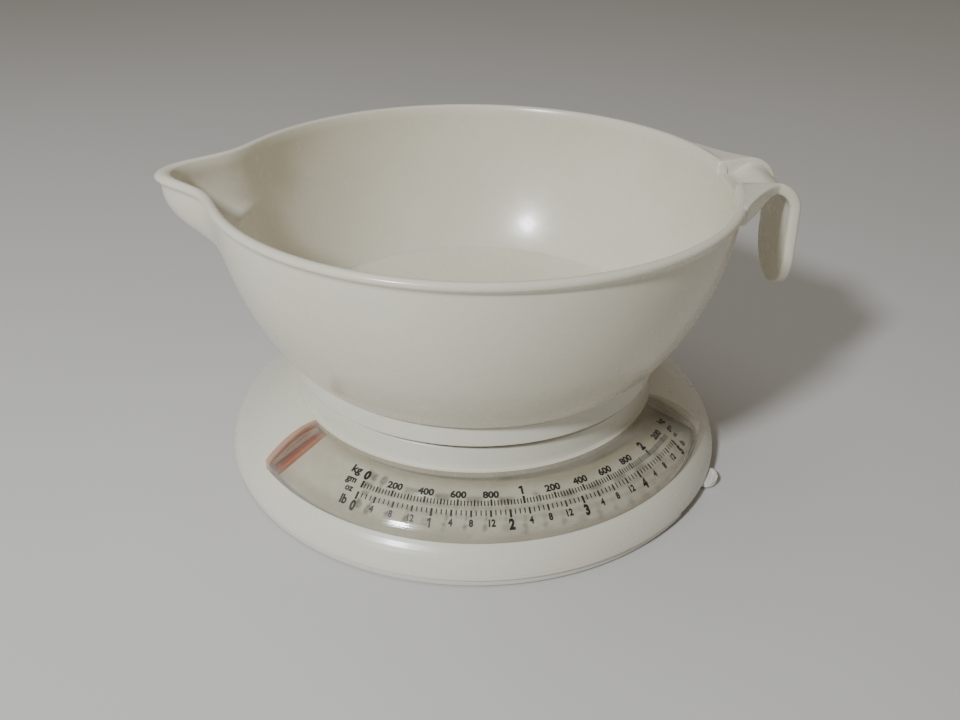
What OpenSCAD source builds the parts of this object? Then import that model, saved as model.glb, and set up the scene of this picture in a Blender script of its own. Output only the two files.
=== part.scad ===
// Kitchen scale with a lift-off mixing bowl.
// Origin at the centre of the base on the table. +Z up, +X towards the bowl's handle.
// The dial window faces -Y. All lengths are in millimetres.

/* [Base] */
// wall thickness of the cover
cover_wall = 2; // [1.5:0.1:3]
// radius where the shoulder meets the cone
shoulder_r = 93.3; // [88:0.1:97]
// height where the shoulder meets the cone
shoulder_z = 13.9; // [10:0.1:18]
// radius at the top of the cone
cone_r = 72.3; // [65:0.1:80]
// height at the top of the cone
cone_z = 27; // [22:0.1:32]
// height of the deck under the platform
deck_z = 35.6; // [30:0.1:40]

/* [Dial] */
// azimuth of the window's left edge, degrees
window_from = -146.6; // [-170:0.1:-120]
// azimuth of the window's right edge, degrees
window_to = -18; // [-60:0.1:-5]
// height of the window's outer top edge
window_z = 17.2; // [15:0.1:20]
// thickness of the clear window
window_t = 2; // [1.2:0.1:3]
// how far the window's face bows up
window_bulge = 2.4; // [0:0.1:3]
// how far the cone bows up
cover_bulge = 1.1; // [0:0.1:2]
// drop from the window's chord to the dial plate
dial_drop = 8.5; // [8:0.1:9]
// azimuth of the pointer's leading edge at rest, degrees
pointer_rest = -145; // [-160:0.5:-120]
// width of the pointer's sector, degrees
pointer_span = 24; // [4:1:24]
// pointer sweep for the full travel, degrees
pointer_sweep = 116; // [60:1:116]

/* [Platform] */
// height of the platform's rim
platform_z = 45.6; // [44:0.1:48]
// radius of the platform's skirt at the top
platform_r = 71.2; // [66:0.1:71.5]
// full travel of the platform
travel = 6.2; // [3:0.1:6.2]

/* [Bowl] */
// height of the bowl's rim above the table
bowl_rim_z = 110.2; // [95:0.1:125]
// how far the spout stands out from the rim
spout_reach = 20.4; // [8:0.1:26]
// angular width of the spout, degrees
spout_width = 9.7; // [6:0.1:14]
// half-width of the handle
handle_half = 16; // [10:0.5:20]
// outer face of the handle at its foot
handle_r = 118.9; // [112:0.1:125]
// height of the handle's lower end
handle_low = 67; // [55:0.5:80]

/* [Gear train] */
// gear module of the pinion and the rack
gear_mod = 0.8; // [0.6:0.1:1]
// teeth on the pinion
gear_teeth = 20; // [18:1:24]
// short arm of the bell crank
crank_short = 7; // [5:0.1:9]
// height of the bell crank's pivot
crank_z = 28.5; // [27:0.1:30]

/* [Hidden] */
$fn = 96;
cream = [0.93, 0.91, 0.86];
steel = [0.72, 0.73, 0.75];
nylon = [0.9, 0.9, 0.87];
cone_slope = (cone_z - shoulder_z) / (shoulder_r - cone_r);
window_slope = (cone_z - window_z) / (shoulder_r - cone_r);
cone_drop = cover_wall * sqrt(1 + cone_slope * cone_slope);
skin_drop = window_t * sqrt(1 + window_slope * window_slope);
shoulder_bend = 16.24;
shoulder_cx = 83.9;
shoulder_cz = 0.65;
tube_bore = 4.03;
tube_top = 30;
pinion_seat_z = 9.5;
lever_seat_z = 15.7;
pitch_r = gear_mod * gear_teeth / 2;
rack_travel = pitch_r * pointer_sweep * PI / 180;
crank_tilt = asin(travel / 2 / crank_short);
crank_long = rack_travel / 2 / sin(crank_tilt);
crank_x = 10;
crank_y = 31;
notch_y = crank_y - crank_long * sin(crank_tilt);
post_y = crank_y - crank_short;
post_slot_z = crank_z + travel / 2;
tab_az = -26;
screw_azimuths = [30, 90, 150];
dial_azimuths = [-172, -13];
dial_radii = [74, 84];
foot_azimuths = [45, 135, 225, 315];

// ---------- shared shapes ----------

// rise of a bow of height h at radius r, none at the ends of the cone
function bow(r, h) = let (u = (r - cone_r) / (shoulder_r - cone_r)) u < 0 || u > 1 ? 0 : 4 * h * u * (1 - u);

// height of the outside of the cone at radius r
function cone_at(r) = cone_z - (r - cone_r) * cone_slope + bow(r, cover_bulge);

// height of the window's face at radius r
function window_at(r) = cone_z - (r - cone_r) * window_slope + bow(r, window_bulge);

// height of the dial plate's face at radius r
function dial_at(r) = cone_z - (r - cone_r) * window_slope - dial_drop;

// radii across the cone, from the shoulder inwards
cone_radii = [90.5, 87.5, 84.5, 81.5, 78.5, 75.5];

// arc points from angle a to b about (cx, cy)
function arc(cx, cy, r, a, b, n) =
  [for (i = [0:n]) let (t = a + (b - a) * i / n) [cx + r * cos(t), cy + r * sin(t)]];

// part of a turned profile between two azimuths
module sector(from, to) {
  rotate([0, 0, from])
    rotate_extrude(angle = to - from)
      children();
}

// flat ring
module ring(r_out, r_in, z0, z1) {
  translate([0, 0, z0])
    difference() {
      cylinder(h = z1 - z0, r = r_out);
      translate([0, 0, -1])
        cylinder(h = z1 - z0 + 2, r = r_in);
    }
}

// place children at a radius and an azimuth
module polar(r, az) {
  rotate([0, 0, az])
    translate([r, 0, 0])
      children();
}

// box between two corners
module block(a, b) {
  translate(a)
    cube(b - a);
}

// pan-head screw, head down, z0 at the underside of the head
module screw(z0, head_h, head_r, shank_r, length) {
  difference() {
    union() {
      translate([0, 0, z0])
        cylinder(h = head_h, r1 = head_r - 0.4, r2 = head_r, $fn = 32);
      translate([0, 0, z0 + head_h - 0.3])
        cylinder(h = length + 0.3, r = shank_r, $fn = 32);
    }
    for (a = [0, 90])
      rotate([0, 0, a])
        block([-head_r * 0.6, -0.35, z0 - 1], [head_r * 0.6, 0.35, z0 + head_h * 0.55]);
  }
}

// ---------- tray ----------

module guide_tube() {
  rotate_extrude()
    polygon([
      [6.5, 0.8], [8, 0.8], [8, pinion_seat_z], [6, pinion_seat_z], [6, lever_seat_z],
      [5.5, lever_seat_z], [5.5, tube_top - 0.5], [5.1, tube_top], [tube_bore, tube_top],
      [tube_bore, 8.6], [6.5, 8.6]
    ]);
}

// flats that keep the spring seat from turning
module tube_flats(half_w, r, z0, z1) {
  intersection() {
    translate([0, 0, z0])
      cylinder(h = z1 - z0, r = r);
    block([-half_w, -10, z0], [half_w, 10, z1]);
  }
}

module rack_guide() {
  block([11.7, -26, 2], [16.3, 47, 9.6]);
  block([14.3, -26, 9], [16.3, 47, 12.7]);
  block([6.5, 23, 2], [8.7, 27, 12.7]);
  block([12.6, 14, 13.2], [16.3, 18, 14.4]);
  block([14.3, 14, 12], [16.3, 18, 14.4]);
}

module tray_body() {
  difference() {
    union() {
      ring(99.3, 7, 0.8, 2.6);
      ring(99.3, 97.5, 0.8, 3.2);
      ring(96.3, 94.8, 2, 5.6);
      ring(51.5, 50, 2, 5.5);
      for (az = screw_azimuths)
        polar(80, az)
          translate([0, 0, 1])
            cylinder(h = 3.6, r = 5.5, $fn = 40);
      for (az = foot_azimuths)
        polar(80, az)
          translate([0, 0, 1])
            cylinder(h = 2.4, r = 7, $fn = 40);
      for (az = [-60, -90, -120])
        sector(az - 4, az + 4)
          polygon([[95.5, 3.6], [97, 4.2], [97, 4.8], [95.5, 5.4]]);
      for (az = [60:30:300])
        rotate([0, 0, az])
          block([51, -0.7, 2], [74, 0.7, 4.4]);
    }
    for (az = screw_azimuths)
      polar(80, az) {
        translate([0, 0, -1])
          cylinder(h = 10, r = 1.6, $fn = 32);
        translate([0, 0, -1])
          cylinder(h = 3.8, r = 3.6, $fn = 40);
      }
    for (az = foot_azimuths)
      polar(80, az)
        translate([0, 0, -1])
          cylinder(h = 2.6, r = 6.05, $fn = 40);
    sector(tab_az - 15, tab_az + 15)
      polygon([[89.5, -1], [101, -1], [101, 6], [89.5, 6]]);
  }
}

module base_tray() {
  color(cream)
    difference() {
      union() {
        tray_body();
        guide_tube();
        rack_guide();
      }
      difference() {
        translate([0, 0, 19.2])
          cylinder(h = 12, r = 6.5);
        block([-5, -10, 19], [5, 10, 33]);
      }
    }
}

module feet() {
  color([0.2, 0.2, 0.2])
    for (az = foot_azimuths)
      polar(80, az)
        rotate_extrude($fn = 48)
          polygon([[0, 0], [5.4, 0], [6, 0.6], [6, 1.6], [0, 1.6]]);
}

// ---------- cover ----------

// outside of the cover from its foot to the deck
function cover_outside() = concat(
  arc(shoulder_cx, shoulder_cz, shoulder_bend, 9.75, 54.6, 7),
  [for (r = cone_radii) [r, cone_at(r)]],
  [[cone_r, cone_z], [71.6, cone_z + 0.12], [70.9, cone_z + 0.7], [70.6, cone_z + 2],
   [69.9, deck_z - 0.5], [69.4, deck_z], [17, deck_z]]
);

// inside of the cover from the deck to its foot
function cover_inside() = concat(
  [[17, deck_z - 2], [67.9, deck_z - 2], [68.9, 27], [70.2, cone_at(70.2) - cone_drop]],
  [for (i = [5:-1:0]) [cone_radii[i] - 1, cone_at(cone_radii[i]) + cone_slope - cone_drop]],
  arc(shoulder_cx, shoulder_cz, shoulder_bend - cover_wall, 54.6, 11.1, 7)
);

module cover_shell() {
  rotate_extrude($fn = 180)
    polygon(concat(cover_outside(), cover_inside()));
}

// everything below the middle of the cone's wall
module under_cone() {
  rotate_extrude()
    polygon(concat(
      [[0, 0], [92, 0], [92, cone_at(92) - 1.2]],
      [for (r = cone_radii) [r, cone_at(r) - 1.2]],
      [[66, cone_at(66) - 1.2], [0, cone_z]]
    ));
}

module cover_bosses() {
  intersection() {
    union() {
      for (az = screw_azimuths)
        polar(80, az)
          translate([0, 0, 4.6])
            cylinder(h = 20, r = 4, $fn = 40);
      for (az = dial_azimuths)
        for (r = dial_radii)
          polar(r, az)
            translate([0, 0, dial_at(r - 2.6) + 0.1])
              cylinder(h = 12, r = 2.6, $fn = 32);
    }
    under_cone();
  }
}

module cover_pilots() {
  for (az = screw_azimuths)
    polar(80, az)
      translate([0, 0, 4])
        cylinder(h = 12, r = 1.5, $fn = 32);
  for (az = dial_azimuths)
    for (r = dial_radii)
      polar(r, az)
        translate([0, 0, dial_at(r) - 3])
          cylinder(h = cone_at(r) - dial_at(r) + 1.6, r = 1, $fn = 32);
  for (x = [1, 19])
    translate([x, crank_y, 30])
      cylinder(h = 5.4, r = 1.3, $fn = 32);
}

module top_cover() {
  color(cream)
    difference() {
      union() {
        cover_shell();
        cover_bosses();
      }
      cover_pilots();
      sector(window_from - 0.1, window_to + 0.1)
        polygon([[cone_r, 40], [shoulder_r + 0.1, 40], [shoulder_r + 0.1, 5], [cone_r, 5]]);
      translate([crank_x, post_y, 30])
        cylinder(h = 10, r = 5.3);
    }
}

module cover_screws() {
  color(steel)
    for (az = screw_azimuths)
      polar(80, az)
        screw(1, 1.8, 3.2, 1.45, 12.5);
}

// ---------- window and dial ----------

// line under the window's face, from the top of the cone outwards
function under_face(drop) = [for (i = [5:-1:0]) [cone_radii[i], window_at(cone_radii[i]) - drop]];

// flange under the cover from the top of the cone to its foot
function flange_strip() = concat(
  [[70.6, cone_at(70.6) - cone_drop - 0.05], [71.3, cone_at(71.3) - cone_drop - 0.15]],
  [for (i = [5:-1:0]) [cone_radii[i] - 1, cone_at(cone_radii[i]) + cone_slope - cone_drop - 0.15]],
  [[91.8, cone_at(91.8) - cone_drop - 0.15], [91.8, cone_at(91.8) - cone_drop - 1.25],
   [70.6, cone_z - (70.6 - cone_r) * cone_slope - cone_drop - 1.25]]
);

module window() {
  color([0.85, 0.92, 0.95, 0.35])
    difference() {
      union() {
        sector(window_from, window_to)
          polygon(concat(
            [[cone_r, cone_z]], under_face(0),
            [[shoulder_r - 0.8, window_at(shoulder_r - 0.8)], [shoulder_r - 0.15, window_z - 0.25],
             [shoulder_r, window_z - 0.9], [shoulder_r, 11.2], [cone_r, 23.3]]
          ));
        sector(window_from - 1.6, window_to + 1.6)
          polygon(flange_strip());
      }
      sector(window_from + 1.5, window_to - 1.5)
        polygon(concat(
          [[cone_r - 0.2, cone_z - skin_drop - 0.1]], under_face(skin_drop),
          [[shoulder_r - 2, window_at(shoulder_r - 2) - skin_drop], [shoulder_r - 2, 5],
           [cone_r - 0.2, 5]]
        ));
      sector(window_from + 1.5, window_to - 1.5)
        polygon([[60, 10], [cone_r - 0.1, 10], [cone_r - 0.1, 23], [60, 23]]);
    }
}

module dial_plate() {
  color(cream)
    difference() {
      union() {
        sector(-176, -9)
          polygon([[68, dial_at(68)], [91.2, dial_at(91.2)], [91.2, dial_at(91.2) - 1.65],
                   [68, dial_at(68) - 1.65]]);
        for (az = dial_azimuths)
          for (r = dial_radii)
            polar(r, az)
              translate([0, 0, dial_at(r + 2.6) - 1.65])
                cylinder(h = dial_at(r - 2.6) - dial_at(r + 2.6) + 1.75, r = 2.6, $fn = 32);
      }
      for (az = dial_azimuths)
        for (r = dial_radii)
          polar(r, az)
            translate([0, 0, 5])
              cylinder(h = 20, r = 1.1, $fn = 32);
    }
}

module dial_screws() {
  color(steel)
    for (az = dial_azimuths)
      for (r = dial_radii)
        polar(r, az)
          screw(dial_at(r + 2.6) - 2.85, 1.2, 2.2, 0.95, cone_at(r) - dial_at(r + 2.6) - 0.1);
}

// ---------- bell crank and its bracket ----------

module crank_bracket() {
  color(steel)
    difference() {
      union() {
        block([-2.5, 27.5, 32.3], [22.5, 34.5, deck_z - 2]);
        block([7.2, 27.5, 25.6], [8.7, 34.5, 33]);
        block([11.3, 27.5, 25.6], [12.8, 34.5, 33]);
      }
      translate([0, crank_y, crank_z])
        rotate([0, 90, 0])
          cylinder(h = 20, r = 1.5, $fn = 40);
      for (x = [1, 19])
        translate([x, crank_y, 30])
          cylinder(h = 5, r = 1.4, $fn = 32);
    }
}

module bracket_screws() {
  color(steel)
    for (x = [1, 19])
      translate([x, crank_y, 0])
        screw(30.9, 1.4, 2.6, 1.25, 2.9);
}

module crank_axle() {
  color(steel)
    translate([0, crank_y, crank_z])
      rotate([0, 90, 0]) {
        translate([0, 0, 6.6])
          cylinder(h = 6.6, r = 1.45, $fn = 40);
        translate([0, 0, 12.85])
          cylinder(h = 0.9, r = 2.3, $fn = 40);
      }
}

// crank outline with the pivot at the origin, short arm to -x, long arm down
module crank_outline() {
  difference() {
    union() {
      circle(r = 3.3, $fn = 48);
      polygon([[0, 2.6], [-crank_short + 1, 1], [-crank_short, 1], [-crank_short, -1],
               [-crank_short + 1, -1], [0, -2.6]]);
      polygon([[-2.6, 0], [-0.9, -crank_long + 3.4], [-0.9, -crank_long],
               [0.9, -crank_long], [0.9, -crank_long + 3.4], [2.6, 0]]);
      translate([-crank_short, 0])
        circle(r = 1.5, $fn = 40);
      translate([0, -crank_long])
        circle(r = 1.5, $fn = 40);
    }
    circle(r = 1.52, $fn = 40);
  }
}

module bell_crank() {
  color(nylon)
    translate([crank_x - 1, crank_y, crank_z])
      rotate([-crank_tilt, 0, 0])
        rotate([90, 0, 90])
          linear_extrude(2)
            crank_outline();
}

// ---------- rack and pinion ----------

// polar angle of an involute point at radius r on a base circle rb
function inv_angle(r, rb) = let (t = acos(rb / r)) tan(t) * 180 / PI - t;

// one side of a tooth: half its angular width at radius r
function half_tooth(r, rb) =
  90 / gear_teeth - 0.43 + inv_angle(pitch_r, rb) - inv_angle(max(r, rb), rb);

// outline of one tooth centred on azimuth c
function tooth(c, rb, root, tip) = let (
  radii = [root, rb, (rb + pitch_r) / 2, pitch_r, (pitch_r + tip) / 2, tip]
) concat(
  [for (r = radii) [r * cos(c - half_tooth(r, rb)), r * sin(c - half_tooth(r, rb))]],
  [for (i = [5:-1:0]) let (r = radii[i]) [r * cos(c + half_tooth(r, rb)), r * sin(c + half_tooth(r, rb))]]
);

module pointer_gear() {
  pitch = 360 / gear_teeth;
  rb = pitch_r * cos(20);
  color(nylon)
    difference() {
      union() {
        translate([0, 0, 9.8])
          linear_extrude(3.8)
            polygon([for (i = [0:gear_teeth - 1])
              each tooth((i + 0.5) * pitch, rb, pitch_r - 1.25 * gear_mod, pitch_r + gear_mod)]);
        translate([0, 0, 13.3])
          cylinder(h = 2.1, r = 7.6);
      }
      translate([0, 0, 5])
        cylinder(h = 20, r = 6.08);
    }
}

// rack tooth profile, centred on y = 0 with its tip towards -x
module rack_tooth(y) {
  half = PI * gear_mod / 4 - 0.06;
  lean = tan(20) * gear_mod;
  foot = tan(20) * gear_mod * 1.25;
  polygon([
    [pitch_r - gear_mod, y - half + lean], [pitch_r - gear_mod, y + half - lean],
    [pitch_r + 1.25 * gear_mod, y + half + foot], [pitch_r + 1.25 * gear_mod, y - half - foot]
  ]);
}

module rack() {
  first = -ceil((rack_travel + 4) / (PI * gear_mod));
  color(nylon)
    difference() {
      union() {
        for (i = [first:2])
          translate([0, 0, 9.9])
            linear_extrude(3)
              rack_tooth(i * PI * gear_mod);
        block([pitch_r + 1.15 * gear_mod, first * PI * gear_mod - 1.4, 9.9], [14, 27.2, 12.9]);
      }
      block([8.5, notch_y - 1.75, 9], [11.5, notch_y + 1.75, 14]);
    }
}

// ---------- pointer ----------

module pointer() {
  mid = pointer_rest - pointer_span / 2;
  color([0.86, 0.22, 0.12])
    difference() {
      union() {
        sector(pointer_rest - pointer_span, pointer_rest)
          polygon([[54, 15], [60.4, 15], [65.9, dial_at(65.9) + 1.55], [91, dial_at(91) + 1.55],
                   [91, dial_at(91) + 0.35], [66.5, dial_at(66.5) + 0.35], [61.3, 13.8], [54, 13.8]]);
        ring(12, 7, 13.8, 15);
        rotate([0, 0, mid])
          difference() {
            block([9, -7, 13.8], [55, 7, 15]);
            for (x = [18, 31])
              block([x, -4.5, 13], [x + 9, 4.5, 16]);
          }
      }
      translate([0, 0, 12])
        cylinder(h = 5, r = 7.62);
    }
}

// ---------- zero adjustment ----------

zero_lift = 0.25;
zero_turn = 10;

// sloped slot for one peg of the spring seat, lower towards larger azimuths
module seat_slot(az) {
  slope = atan(zero_lift / (14 * sin(zero_turn)));
  polar(12, az)
    translate([0, 0, 20.6])
      rotate([-slope, 0, 0])
        block([0, -3.7, -1.05], [5, 3.7, 1.05]);
}

module lever_arm() {
  block([13.5, -4.5, 16], [64, 4.5, 18]);
  block([62, -4.5, 3], [64, 4.5, 18]);
  tip = 91.5 * [cos(tab_az), sin(tab_az)];
  along = (tip - [63, 0]) / norm(tip - [63, 0]);
  side = 4.5 * [-along[1], along[0]];
  translate([0, 0, 3])
    linear_extrude(2.2)
      polygon([[62, -4.5], tip - side, tip + side, [65, 4.5], [62, 4.5]]);
}

// thumb tab that comes out under the cover's edge
module lever_tab() {
  rotate([0, 0, tab_az]) {
    difference() {
      union() {
        translate([98, 0, 1])
          linear_extrude(2)
            polygon(concat(arc(0, 0, 6, -60, 60, 10), [[-6.6, 6], [-6.6, -6]]));
        block([91, -6, 1], [93, 6, 5.2]);
        block([87.5, -6, 3], [93, 6, 5.2]);
      }
      for (x = [99.6, 101.2, 102.8])
        block([x, -3, 2.7], [x + 0.6, 3, 4]);
    }
  }
}

module zero_lever() {
  color([0.96, 0.96, 0.95])
    difference() {
      union() {
        rotate_extrude()
          polygon([[5.58, 16], [15, 16], [15, 23], [13, 23], [13, 18], [8, 18], [8, 19.2],
                   [5.58, 19.2]]);
        lever_arm();
        lever_tab();
      }
      for (az = [60, 180, 300])
        seat_slot(az);
    }
}

module spring_seat() {
  color(nylon)
    difference() {
      union() {
        rotate_extrude()
          polygon([[0, 19.6], [12.6, 19.6], [12.6, 21.6], [9.2, 21.6], [9.2, 23], [8.6, 23.4],
                   [0, 23.4]]);
        for (az = [60, 180, 300])
          polar(12, az)
            translate([0, 0, 20.6])
              rotate([0, 90, 0])
                cylinder(h = 2.8, r = 0.9, $fn = 32);
      }
      tube_flats(5.08, 5.58, 19, 25);
    }
}

// ---------- main spring ----------

spring_low = 21.9;
spring_high = 42.4;
spring_r = 10.5;
wire_r = 0.75;
spring_turns = 6.5;
ring_steps = 18;
wire_sides = 6;

// height of the coil's centre line after u turns, closed at both ends
function coil_z(u) = let (
  a = spring_low + wire_r,
  b = spring_high - wire_r,
  f = (u - 1) / (spring_turns - 2)
) u < 1 ? a + u * 2 * wire_r * 0.55
  : u > spring_turns - 1 ? b - (spring_turns - u) * 2 * wire_r * 0.55
  : a + 1.1 * wire_r + f * (b - a - 2.2 * wire_r);

module main_spring() {
  last = spring_turns * ring_steps;
  points = [for (i = [0:last]) let (u = i / ring_steps, a = u * 360)
    for (j = [0:wire_sides - 1]) let (w = j * 360 / wire_sides)
      [(spring_r + wire_r * cos(w)) * cos(a), (spring_r + wire_r * cos(w)) * sin(a),
       coil_z(u) + wire_r * sin(w)]];
  sides = [for (i = [0:last - 1]) for (j = [0:wire_sides - 1]) let (
      k = (j + 1) % wire_sides, p = i * wire_sides, q = p + wire_sides
    ) each [[p + j, q + j, q + k], [p + j, q + k, p + k]]];
  low_end = [for (j = [0:wire_sides - 1]) j];
  high_end = [for (j = [wire_sides - 1:-1:0]) last * wire_sides + j];
  color(steel)
    polyhedron(points, concat([low_end], sides, [high_end]));
}

// ---------- platform and its stem ----------

module platform() {
  color(cream)
    difference() {
      union() {
        rotate_extrude($fn = 180)
          polygon([
            [0, 43], [69.8, 43], [70.8, 37.8], [71.9, 37.8], [71.9, 38.4],
            [platform_r, platform_z - 1.2], [platform_r - 0.4, platform_z - 0.35],
            [platform_r - 1.2, platform_z], [66.4, platform_z], [66, platform_z - 0.4],
            [66, platform_z - 1.2], [0, platform_z - 1.2]
          ]);
        ring(14, 12.4, 40.5, 43.2);
        translate([0, 0, 42.5])
          cylinder(h = 0.7, r = 13);
        translate([0, 0, 37.5])
          cylinder(h = 6, r = 7);
        block([6.3, 21.4, 40.2], [13.7, 27.1, 43.2]);
        for (az = [0:60:300])
          rotate([0, 0, az + 30])
            block([16, -0.7, 42.15], [66, 0.7, 43.2]);
      }
      translate([0, 0, 30])
        cylinder(h = 13.2, r = 4);
      block([crank_x - 2.65, post_y - 1.45, 30], [crank_x + 2.65, post_y + 2.05, 43.2]);
    }
}

module drive_post() {
  color(steel)
    difference() {
      block([crank_x - 2.6, post_y - 1.4, post_slot_z - 3.4], [crank_x + 2.6, post_y + 2, 43.1]);
      translate([crank_x - 1.3, 0, post_slot_z])
        rotate([90, 0, 90])
          linear_extrude(2.6)
            polygon([[post_y - 5, -1.65], [post_y + 0.9, -1.65], [post_y + 3, -3], [post_y + 3, 3],
                     [post_y + 0.9, 1.65], [post_y - 5, 1.65]]);
    }
}

module stem() {
  color(steel)
    difference() {
      translate([0, 0, 8.3])
        cylinder(h = 34.8, r = 3.96);
      translate([0, 0, 8])
        cylinder(h = 9, r = 1.5, $fn = 32);
    }
}

module stem_washer() {
  color(steel)
    translate([0, 0, 6.9])
      difference() {
        cylinder(h = 1.4, r = 5.8);
        translate([0, 0, -0.1])
          cylinder(h = 0.9, r1 = 3.25, r2 = 2.4, $fn = 40);
        translate([0, 0, -1])
          cylinder(h = 4, r = 1.6, $fn = 32);
      }
}

module stem_screw() {
  color(steel)
    difference() {
      union() {
        translate([0, 0, 6.9])
          cylinder(h = 0.75, r1 = 3.05, r2 = 2.35, $fn = 40);
        translate([0, 0, 7.6])
          cylinder(h = 8, r = 1.45, $fn = 32);
      }
      for (a = [0, 90])
        rotate([0, 0, a])
          block([-1.8, -0.35, 6], [1.8, 0.35, 7.4]);
    }
}

// ---------- bowl ----------

bowl_foot_z = 45.7;
wall_from = [73, 46];
wall_mid = [[83.5, 57], [95.8, 84]];
wall_to = [95.2, 106.5];
bowl_wall = 2.1;
bead_r = 97.06;
spout_floor = 16.5;

// point of the outer wall at t from the foot to the rim
function wall_point(t) = pow(1 - t, 3) * wall_from + 3 * pow(1 - t, 2) * t * wall_mid[0]
  + 3 * (1 - t) * t * t * wall_mid[1] + pow(t, 3) * wall_to;

// outward normal of the outer wall at t
function wall_normal(t) = let (
  d = wall_point(min(t + 0.01, 1)) - wall_point(max(t - 0.01, 0)),
  n = norm(d)
) [d[1] / n, -d[0] / n];

// how much of the spout there is at height z, on a trough of the given depth
function spout_part(z, depth) = z >= 103 ? 1 :
  z <= 103 - depth ? 0 : sqrt(1 - pow((103 - z) / depth, 2));

// places along the wall, closer together where the spout begins
wall_steps = [0.1, 0.2, 0.3, 0.4, 0.5, 0.6, 0.67, 0.72, 0.76, 0.8, 0.85, 0.9, 0.95, 1];

// azimuths about the spout, closer together near it
function bowl_azimuths() = concat(
  [for (a = [-25:2.5:25]) 180 + a],
  [for (i = [1:40]) 205 + i * 310 / 41]
);

// profile rows: radius, height, how far the spout pushes this row out
function bowl_rows() = concat(
  [for (p = [[60, bowl_foot_z], [60, bowl_foot_z - 0.9], [63, bowl_foot_z - 0.9],
             [63, bowl_foot_z], [72.1, bowl_foot_z], wall_from])
    [p[0], p[1], 0]],
  [for (t = wall_steps) let (p = wall_point(t))
    [p[0], p[1], (spout_reach - 0.4) * spout_part(p[1], spout_floor)]],
  [for (i = [0:7]) let (a = -60 + i * 30, f = max(0, (a + 20) / 170))
    [bead_r - 1.85 + 1.85 * cos(a) - (a > 90 ? 0.25 * (a - 90) / 60 : 0),
     bowl_rim_z - 1.55 + 1.55 * sin(a), spout_reach - 2.8 * f]],
  [for (i = [len(wall_steps) - 1:-1:0]) let (
      t = wall_steps[i],
      p = wall_point(t) - bowl_wall * wall_normal(t)
    ) [p[0], p[1], (spout_reach - 2.8) * spout_part(p[1], spout_floor - 2)]],
  [[72.4, 48.7, 0], [70.5, 48.2, 0]]
);

// bowl wall as one closed skin
module bowl_shell() {
  rows = bowl_rows();
  azimuths = bowl_azimuths();
  n = len(azimuths);
  last = len(rows) - 1;
  points = [for (row = rows) for (a = azimuths)
    let (d = abs(a - 180) < 30 ? exp(-pow((a - 180) / spout_width, 2)) : 0, r = row[0] + row[2] * d)
      [r * cos(a), r * sin(a), row[1]]];
  skin = [for (i = [0:last - 1]) for (j = [0:n - 1]) let (
      k = (j + 1) % n, p = i * n, q = p + n
    ) each [[p + j, q + j, q + k], [p + j, q + k, p + k]]];
  under = [for (j = [0:n - 1]) j];
  floor_ring = [for (j = [n - 1:-1:0]) last * n + j];
  polyhedron(points, concat([under], skin, [floor_ring]));
}

// half-width of the handle's root at x, flared into the rim
function root_half(x) = handle_half + 21 * pow(max(0, 108 - x) / 18, 1.4);

// outline of the handle seen from above as far as the bend
module root_outline() {
  polygon(concat(
    [for (x = [88:2:108]) [x, -root_half(x)]], [[113, -handle_half], [113, handle_half]],
    [for (x = [108:-2:88]) [x, root_half(x)]]
  ));
}

// outline of the hook seen from the side it hangs on, in y and z
module hook_outline(half) {
  low = handle_low + handle_half;
  translate([0, low])
    circle(r = half, $fn = 64);
  translate([-half, low])
    square([2 * half, 40]);
}

// region covered by the handle, or by its channel when shrunk
module handle_region(half) {
  translate([0, 0, 60])
    linear_extrude(60)
      children();
  translate([110, 0, 0])
    rotate([90, 0, 90])
      linear_extrude(20)
        hook_outline(half);
}

// band seen from the side: crest, bend and hanging leg
module handle_band() {
  rotate([90, 0, 0])
    linear_extrude(84, center = true)
      polygon(concat(
        [[92, 110.2], [97, 110.6], [106, 111]],
        arc(106, 100, 11, 84, 0, 8),
        [[handle_r, handle_low], [handle_r - 4, handle_low]],
        arc(106, 100, 7, 0, 84, 8),
        [[106, 107], [99.5, 103.6], [92, 103.6]]
      ));
}

// channel in the top and the outer face, leaving a web
module handle_channel() {
  rotate([90, 0, 0])
    linear_extrude(60, center = true)
      polygon(concat(
        [[97, 105.6], [99, 105.6], [106, 109]],
        arc(106, 100, 9, 84, 0, 8),
        [[handle_r - 2, handle_low], [130, handle_low], [130, 120], [97, 120]]
      ));
}

module handle() {
  difference() {
    intersection() {
      handle_band();
      handle_region(handle_half)
        root_outline();
    }
    intersection() {
      handle_channel();
      handle_region(handle_half - 2.1)
        polygon([[96, -12], [106, 2.1 - handle_half], [113, 2.1 - handle_half],
                 [113, handle_half - 2.1], [106, handle_half - 2.1], [96, 12]]);
    }
    translate([0, 0, 100])
      cylinder(h = 20, r = 94.4);
  }
}

module bowl() {
  color(cream) {
    difference() {
      bowl_shell();
      block([90, -12, 105.6], [99, 12, 112]);
    }
    handle();
  }
}

base_tray();
feet();
top_cover();
cover_screws();
window();
dial_plate();
dial_screws();
crank_bracket();
bracket_screws();
crank_axle();
bell_crank();
rack();
pointer_gear();
pointer();
zero_lever();
spring_seat();
main_spring();
platform();
drive_post();
stem();
stem_washer();
stem_screw();
bowl();
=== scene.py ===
"""Looks of a kitchen scale with a lift-off mixing bowl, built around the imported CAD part.

The shapes are worked out in millimetres and turned into metres when a mesh is made.
Azimuths are degrees from +X towards +Y, and the dial window faces -Y.
The materials, lights and camera are in metres, as Blender takes them.
"""

import math

import bmesh
import bpy
import numpy as np
from mathutils import Matrix, Vector


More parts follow.
